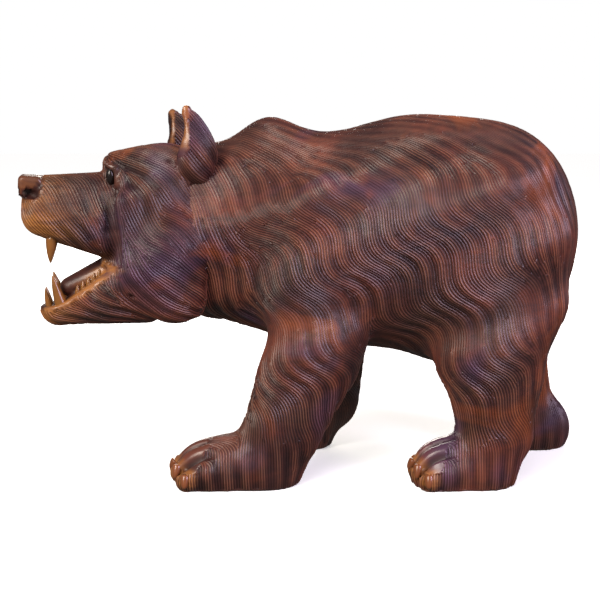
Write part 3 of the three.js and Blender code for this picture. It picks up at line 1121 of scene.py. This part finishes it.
def body_surface():
    """The net of the body, finer on the paws and finer still on the toes."""
    field = body_field()
    points, triangles = net(field, *BODY_BOX, BODY_CELL)
    points = settle(field, points)
    for chosen in (on_paws, on_toes):
        points, triangles = refine(points, triangles, chosen(points[triangles].mean(1)))
        points = settle(field, points)
    points[:, 2] = np.maximum(points[:, 2], 0)
    return points, triangles


def plain_body(points, triangles):
    """1 where the body has no fur: under the head, on the soles and on top of the toes."""
    z = points[:, 2]
    hidden = head_field()(*points.T) < HIDDEN
    sole = (z < 1.0) & (normals_of(points, triangles)[:, 2] < -0.7)
    return (hidden | sole | (on_toes(points) & (z > TOES_PLAIN))).astype(float)


def gold_by_claws(points):
    """How far the stain is rubbed thin round the claws."""
    gold = np.zeros(len(points))
    for place, out in claw_places():
        away = np.linalg.norm(points - place - out * 2, axis=1)
        gold = np.maximum(gold, 0.7 * (1 - smoothstep(away, 5, 15)))
    return gold


def quarters(points, faces):
    """Which faces are in each part of the body."""
    x, _, z = points[faces].mean(1).T
    fore, leg = x < WAIST, z < LEG_TOP
    return {"forequarters": fore & ~leg, "forelegs": fore & leg,
            "hindquarters": ~fore & ~leg, "hind_legs": ~fore & leg}


def plain_head(points):
    """1 where the head has no fur: in the neck, on nose, lips and lids, and inside the ears."""
    x, y, z = to_head(*points.T)
    bare = [nose()(x, y, z) - 1.5, mouth()(x, y, z) - 3.5, nostrils()(x, y, z) - 2, lids()(x, y, z) - 1]
    for side, forward in EARS:
        shell = ear_shell(side, forward)(x, y, z) - 1
        hollow = ear_hollow(side, forward)(x, y, z) - 3
        bare.append(np.maximum.reduce([shell, x + EAR_RIM + forward, 286 - z]))
        bare.append(np.maximum(hollow, 291 - z))
    hidden = body_field()(*points.T) < HIDDEN
    return (hidden | (np.minimum.reduce(bare) < 0)).astype(float)


def head_stain_and_shade(points, polish):
    """How far the stain is rubbed thin on the head, and how much painted shade goes into the mouth, the fold,
    the nostrils and the ear hollows, with a darker nose pad.
    """
    x, y, z = to_head(*points.T)
    gap = mouth()(x, y, z)
    lip = (1 - smoothstep(gap, 2, 8)) * smoothstep(np.abs(y), 7, 13)
    front = 1 - smoothstep(x, -240, -188)
    low_front = front * (1 - smoothstep(z, 222, 258))
    chin = (1 - smoothstep(x, -222, -190)) * (1 - smoothstep(z, 150, 168))
    rims = smoothstep(z, 288, 300) * polish
    gold = np.maximum.reduce([0.75 * lip, low_front, 0.45 * front, 0.4 * chin, 0.6 * rims])
    holes = np.minimum.reduce([nostrils()(x, y, z), *[ear_hollow(*ear)(x, y, z) for ear in EARS]])
    # Painted shade inside the mouth, along the fold below the eye, in the nostrils and in the ear hollows;
    # the nose term darkens the whole nose pad.
    dark = np.maximum.reduce([
        (1 - smoothstep(np.abs(y), 9, 13)) * (1 - smoothstep(gap, 0.5, 4)),
        0.6 * (1 - smoothstep(creases()(x, y, z), 0.5, 3.5)),
        0.45 * (1 - smoothstep(nose()(x, y, z), 0.5, 1.5)),
        1 - smoothstep(holes, 0.8, 3),
    ])
    return np.clip(gold, 0, 1), dark


def cut_ends(points, faces):
    """Points in the middles of the ends where a part was cut off, and the faces that close them."""
    count = len(points)
    start, end = faces.ravel(), np.roll(faces, -1, axis=1).ravel()
    open_side = ~np.isin(start * count + end, end * count + start)
    start, end = start[open_side], end[open_side]
    _, y, z = points[start].T
    waist = z > LEG_TOP + 9
    middles, lids = [], []
    for ring in (waist, ~waist & (y < 0), ~waist & (y > 0)):
        if ring.any():
            centre = np.full(ring.sum(), count + len(middles))
            middles.append(points[start[ring]].mean(0))
            lids.append(np.stack([end[ring], start[ring], centre], -1))
    return np.reshape(middles, (-1, 3)), np.concatenate([faces[:0], *lids])


def wood_piece(name, points, faces, facing, values):
    """A grooved piece from some faces of a carved mesh, with its cut ends closed."""
    used, renumbered = np.unique(faces, return_inverse=True)
    part = renumbered.reshape(-1, 3)
    middles, lids = cut_ends(points[used], part)
    blank = np.zeros(len(middles))
    kept = {key: np.concatenate([value[used], blank]) for key, value in values.items()}
    obj = mesh_object(name, row_frame(np.concatenate([points[used], middles])),
                      np.concatenate([part, lids]), bpy.data.materials["grooved_wood"], kept)
    normals = np.concatenate([facing[used], np.tile((0.0, 0.0, 1.0), (len(middles), 1))])
    obj.data.normals_split_custom_set_from_vertices(normals.tolist())
    return belongs(obj)


class BEAR_OT_carve_body(bpy.types.Operator):
    """Carve the trunk, the neck and the legs"""
    bl_idname = "bear.carve_body"
    bl_label = "Carve Body"

    def execute(self, context):
        points, triangles = body_surface()
        smooth = plain_body(points, triangles)
        carved, faces, height, lock, polish, facing = grooved(
            points, triangles, body_lay, False, smooth, context.scene.bear_fur)
        carved[:, 2] = np.maximum(carved[:, 2], 0)
        cleft = clefts(*carved.T) / CLEFT_DEPTH
        # Painted shade in the clefts between the toes: their groove heights drop so they take the hollows'
        # painted shade.
        values = {"groove": height * (1 - 0.85 * smoothstep(cleft, 0.15, 0.8)),
                  "gold": gold_by_claws(carved), "lock": lock, "polish": polish * (1 - cleft)}
        for name, chosen in quarters(carved, faces).items():
            wood_piece(name, carved, faces[chosen], facing, values)
        return {"FINISHED"}


class BEAR_OT_carve_head(bpy.types.Operator):
    """Carve the head with its ruff, ears and open mouth"""
    bl_idname = "bear.carve_head"
    bl_label = "Carve Head"

    def execute(self, context):
        field = head_field()
        points, triangles = net(field, *HEAD_BOX, HEAD_CELL)
        points = settle(field, points)
        carved, faces, height, lock, polish, facing = grooved(
            points, triangles, head_lay, True, plain_head(points), context.scene.bear_fur)
        gold, dark = head_stain_and_shade(carved, polish)
        # Painted shade: where it lies, the groove heights drop so the wood takes the hollows' painted shade,
        # and the gold and polish go.
        values = {"groove": height * (1 - 0.75 * dark), "gold": gold * (1 - dark),
                  "lock": lock, "polish": polish * (1 - dark)}
        wood_piece("head", carved, faces, facing, values)
        return {"FINISHED"}


# Teeth, claws and eyes, each modelled once and copied.


def deselect():
    bpy.ops.object.select_all(action="DESELECT")


FANG_RINGS = 5          # the steps in which a tooth or claw is drawn out to its point
FANG_LEAN = 0.10        # how far each step leans, in radii


def model_fang(name, tip):
    """A pointed, slightly bent tooth on the origin, of unit radius and height, with a point of radius tip."""
    deselect()
    bpy.ops.mesh.primitive_circle_add(vertices=12, radius=1, fill_type="NGON")
    bpy.ops.object.mode_set(mode="EDIT")
    bpy.ops.mesh.select_all(action="SELECT")
    radius, lean, height = 1.0, 0.0, 0.0
    for ring in range(1, FANG_RINGS + 1):
        part = ring / FANG_RINGS
        wanted = tip + (1 - tip) * math.cos(part * math.pi / 2) ** 0.8
        step = (FANG_LEAN * part, 0, 1 / FANG_RINGS)
        bpy.ops.mesh.extrude_region_move(TRANSFORM_OT_translate={"value": step})
        lean, height = lean + step[0], height + step[2]
        shrink = wanted / radius
        bpy.ops.transform.resize(value=(shrink, shrink, 1), center_override=(lean, 0, height))
        radius = wanted
    bpy.ops.mesh.select_all(action="SELECT")
    bpy.ops.mesh.normals_make_consistent(inside=False)
    bpy.ops.object.mode_set(mode="OBJECT")
    fang = bpy.context.object
    fang.name = name
    rounding = fang.modifiers.new("round", "SUBSURF")
    rounding.levels = 1
    rounding.render_levels = 1
    bpy.ops.object.modifier_apply(modifier=rounding.name)
    bpy.ops.object.shade_smooth()
    return fang


def standing(base, tip, radius, lean_towards):
    """The matrix that stands a unit tooth on its base, drawn out to its tip."""
    base, tip = Vector(base) * MM, Vector(tip) * MM
    up = (tip - base).normalized()
    side = Vector(lean_towards)
    side = (side - up * side.dot(up)).normalized()
    turn = Matrix((side, up.cross(side), up)).transposed().to_4x4()
    size = Matrix.Diagonal((radius * MM, radius * MM, (tip - base).length, 1))
    return Matrix.Translation(base) @ turn @ size


def copies_of(model, name, matrices, material):
    """One object with a copy of the model at each matrix. The model is removed."""
    deselect()
    for matrix in matrices:
        copy = placed(name, model.data.copy())
        copy.data.transform(matrix)
        copy.select_set(True)
        bpy.context.view_layer.objects.active = copy
    bpy.ops.object.join()
    made = bpy.context.object
    made.name = name
    made.data.materials.clear()
    made.data.materials.append(material)
    bpy.data.objects.remove(model)
    return belongs(made)


# Teeth on one side, in the head's own place: base, tip and radius.
FANGS = (
    ((-219, 12, 218), (-223, 12.5, 193), 5.6),
    ((-211, 13, 149), (-222, 13, 182), 6.0),
    ((-223, 6, 150), (-228, 6.5, 170), 3.6),
)
BACK_TEETH = 5          # small teeth behind the lower fang on each side
BACK_START = 14         # how far behind the lip's front they begin, and how far on they reach
BACK_REACH = 24
JAW_SLOPE = 0.72        # how steeply the lower lip rises to the rear


def tooth_rows():
    """All the teeth of one side."""
    rows = list(FANGS)
    for i in range(BACK_TEETH):
        along = (i + 0.7) / BACK_TEETH
        x = LOWER_LIP[0] + BACK_START + along * BACK_REACH
        z = LOWER_LIP[1] + (x - LOWER_LIP[0]) * JAW_SLOPE
        rows.append(((x, 13, z - 5), (x - 1, 13, z + 6), 3.0))
    return rows


class BEAR_OT_set_teeth(bpy.types.Operator):
    """Carve the fangs and the small back teeth"""
    bl_idname = "bear.set_teeth"
    bl_label = "Carve Teeth"

    def execute(self, context):
        places = []
        for side in (NEAR, FAR):
            for base, tip, radius in tooth_rows():
                ends = row_frame(from_head([(x, y * side, z) for x, y, z in (base, tip)]))
                places.append(standing(*ends, radius, (1, 0, 0)))
        copies_of(model_fang("fang", 0.10), "teeth", places, bpy.data.materials["golden_wood"])
        return {"FINISHED"}


def claw_places():
    """Where the surface is at the end of each toe, and which way it faces there."""
    field = body_field()
    starts = []
    for shape in PAWS:
        for y, back, lift in toe_places(shape):
            splay = TOE_SPLAY * (y - STANCE * shape["side"])
            starts.append((shape["toe"] + 5 + 1.5 * back, y + splay, 12 + lift))
    points = settle(field, np.array(starts, float), 6)
    return list(zip(points, unit(slope_of(field, points, 0.5))))


CLAW_RADIUS = 4.8
CLAW_ROOT = 5           # how far each claw starts inside its toe, and how far it hangs over it
CLAW_REACH = 8.5


class BEAR_OT_set_claws(bpy.types.Operator):
    """Carve a claw on each toe"""
    bl_idname = "bear.set_claws"
    bl_label = "Carve Claws"

    def execute(self, context):
        places = []
        for place, out in claw_places():
            down = out * 0.5 - np.array([0, 0, 0.85])
            root = place - out * 2.2 - down * CLAW_ROOT
            point = place - out * 0.8 + down * CLAW_REACH
            ends = row_frame(np.array([root, point]))
            places.append(standing(*ends, CLAW_RADIUS, (0, 0, -1)))
        copies_of(model_fang("claw", 0.3), "claws", places, bpy.data.materials["red_wood"])
        return {"FINISHED"}


EYE_RADIUS = 7
EYE_SHAPE = (0.6, 0.6, 1.05)    # narrower than a ball, and a little taller


class BEAR_OT_set_eyes(bpy.types.Operator):
    """Carve the two eyes"""
    bl_idname = "bear.set_eyes"
    bl_label = "Carve Eyes"

    def execute(self, context):
        deselect()
        bpy.ops.mesh.primitive_uv_sphere_add(segments=24, ring_count=12, radius=EYE_RADIUS * MM)
        bpy.ops.object.mode_set(mode="EDIT")
        bpy.ops.mesh.select_all(action="SELECT")
        bpy.ops.transform.resize(value=EYE_SHAPE, center_override=(0, 0, 0))
        bpy.ops.object.mode_set(mode="OBJECT")
        bpy.ops.object.shade_smooth()
        ball = bpy.context.object
        eyes = row_frame(from_head([(EYE[0], EYE[1] * side, EYE[2]) for side in (NEAR, FAR)]))
        places = [Matrix.Translation(Vector(eye) * MM) for eye in eyes]
        copies_of(ball, "eyes", places, bpy.data.materials["dark_wood"])
        return {"FINISHED"}


# Finishes.


class BEAR_OT_mix_finishes(bpy.types.Operator):
    """Mix the stains and the lacquer"""
    bl_idname = "bear.mix_finishes"
    bl_label = "Mix Finishes"

    def execute(self, context):
        wood = context.scene.bear_wood
        wood_material(wood)
        lacquered("golden_wood", [0.7 * c for c in wood.gold], 0.3, wood.gloss)
        lacquered("red_wood", wood.claw, 0.3, wood.gloss)
        lacquered("dark_wood", wood.eye, 0.25, 0.3)
        return {"FINISHED"}


# The stage.

MIDDLE = (0, 0, 0.16)           # what the lights are aimed at, in metres
CAMERA = (-0.0089, -1.005, 0.3275)
CAMERA_DROP = 9.8               # how far below level the camera looks, in degrees
CAMERA_FOCAL = 1118.3           # its focal length in pixels of the picture
PICTURE = 600                   # the picture's width in pixels
SENSOR = 36                     # and in millimetres on the sensor
SKY_SPREAD = 50
DOME_RADIUS = 12
FLOOR_SIZE = 14
FLOOR_GLOW = 0.45               # brings the floor up to the white of the dome


def aimed(place):
    """The turn of a light at a place that shines on the bear."""
    return (Vector(MIDDLE) - Vector(place)).to_track_quat("-Z", "Y").to_euler()


def soft_light(name, place, size, power, colour):
    """A rectangular lamp."""
    light = bpy.data.lights.new(name, "AREA")
    light.shape = "RECTANGLE"
    light.size, light.size_y = size
    light.energy = power
    light.color = colour
    obj = placed(name, light)
    obj.location = place
    obj.rotation_euler = aimed(place)
    return obj


def wide_light(name, place, strength):
    """A light as wide as a bright wall, which lights the floor evenly."""
    light = bpy.data.lights.new(name, "SUN")
    light.energy = strength
    light.angle = math.radians(SKY_SPREAD)
    obj = placed(name, light)
    obj.rotation_euler = aimed(place)
    obj.visible_glossy = False
    return obj


def pale_floor():
    """A floor that the wood doesn't mirror."""
    deselect()
    bpy.ops.mesh.primitive_plane_add(size=FLOOR_SIZE, location=(0, 0, 0))
    floor = bpy.context.object
    floor.name = "floor"
    floor.visible_glossy = False
    floor.visible_diffuse = False
    floor.data.materials.append(glowing("pale_floor", (0.95, 0.95, 0.95), 0.9, FLOOR_GLOW))
    return floor


def backdrop():
    """A pale dome that only the camera sees, so that it doesn't light the wood."""
    deselect()
    bpy.ops.mesh.primitive_uv_sphere_add(radius=DOME_RADIUS, segments=48, ring_count=24)
    dome = bpy.context.object
    dome.name = "backdrop"
    dome.data.materials.append(glowing("pale_backdrop", (0, 0, 0), 1, 1.0))
    for rays in ("diffuse", "glossy", "transmission", "volume_scatter", "shadow"):
        setattr(dome, "visible_" + rays, False)
    return dome


def studio_world():
    """A faint warm light from all round."""
    world = bpy.data.worlds.new("studio")
    world.use_nodes = True
    background = world.node_tree.nodes["Background"].inputs
    background["Color"].default_value = (1, 0.93, 0.89, 1)
    background["Strength"].default_value = 0.16
    return world


def studio_camera():
    """The camera where the photograph was taken from."""
    camera = bpy.data.cameras.new("camera")
    camera.sensor_width = SENSOR
    camera.lens = CAMERA_FOCAL / PICTURE * SENSOR
    obj = placed("camera", camera)
    obj.location = CAMERA
    obj.rotation_euler = (math.radians(90 - CAMERA_DROP), 0, 0)
    return obj


class BEAR_OT_set_stage(bpy.types.Operator):
    """Set the floor, the lights and the camera"""
    bl_idname = "bear.set_stage"
    bl_label = "Set Stage"

    def execute(self, context):
        studio = context.scene.bear_studio
        lights = [
            wide_light("sky", (-1.1, -1.9, 2.0), studio.sky),
            soft_light("key", (-1.1, -1.5, 1.3), (0.8, 1.0), studio.key, (1, 0.89, 0.78)),
            soft_light("fill", (1.2, -1.0, 0.9), (0.6, 1.0), studio.fill, (0.84, 0.70, 0.94)),
            soft_light("back", (0.2, 1.7, 0.7), (1.6, 0.8), studio.back, (1, 0.92, 0.84)),
        ]
        pale_floor()
        backdrop()
        context.scene.world = studio_world()
        context.scene.camera = studio_camera()
        context.scene.view_settings.view_transform = "Standard"
        return {"FINISHED"}


# The add-on.


class BEAR_PT_panel(bpy.types.Panel):
    """Lists what the bear is made of"""
    bl_idname = "BEAR_PT_panel"
    bl_label = "Carved Bear"
    bl_space_type = "VIEW_3D"
    bl_region_type = "UI"
    bl_category = "Carved Bear"

    def draw(self, context):
        for settings in (context.scene.bear_fur, context.scene.bear_wood, context.scene.bear_studio):
            box = self.layout.box()
            for name in settings.__annotations__:
                box.prop(settings, name)
        for step in STEPS:
            self.layout.operator(step.bl_idname)


STEPS = (BEAR_OT_mix_finishes, BEAR_OT_carve_body, BEAR_OT_carve_head, BEAR_OT_set_teeth,
         BEAR_OT_set_claws, BEAR_OT_set_eyes, BEAR_OT_set_stage)
GROUPS = {"bear_fur": BearFur, "bear_wood": BearWood, "bear_studio": BearStudio}


def register():
    for made in (*GROUPS.values(), *STEPS, BEAR_PT_panel):
        bpy.utils.register_class(made)
    for name, group in GROUPS.items():
        setattr(bpy.types.Scene, name, PointerProperty(type=group))


def unregister():
    for name in GROUPS:
        delattr(bpy.types.Scene, name)
    for made in (BEAR_PT_panel, *STEPS, *GROUPS.values()):
        bpy.utils.unregister_class(made)


def main():
    """Makes the whole bear."""
    register()
    bpy.ops.bear.mix_finishes()
    bpy.ops.bear.carve_body()
    bpy.ops.bear.carve_head()
    bpy.ops.bear.set_teeth()
    bpy.ops.bear.set_claws()
    bpy.ops.bear.set_eyes()
    bpy.ops.bear.set_stage()


if __name__ == "__main__":
    main()
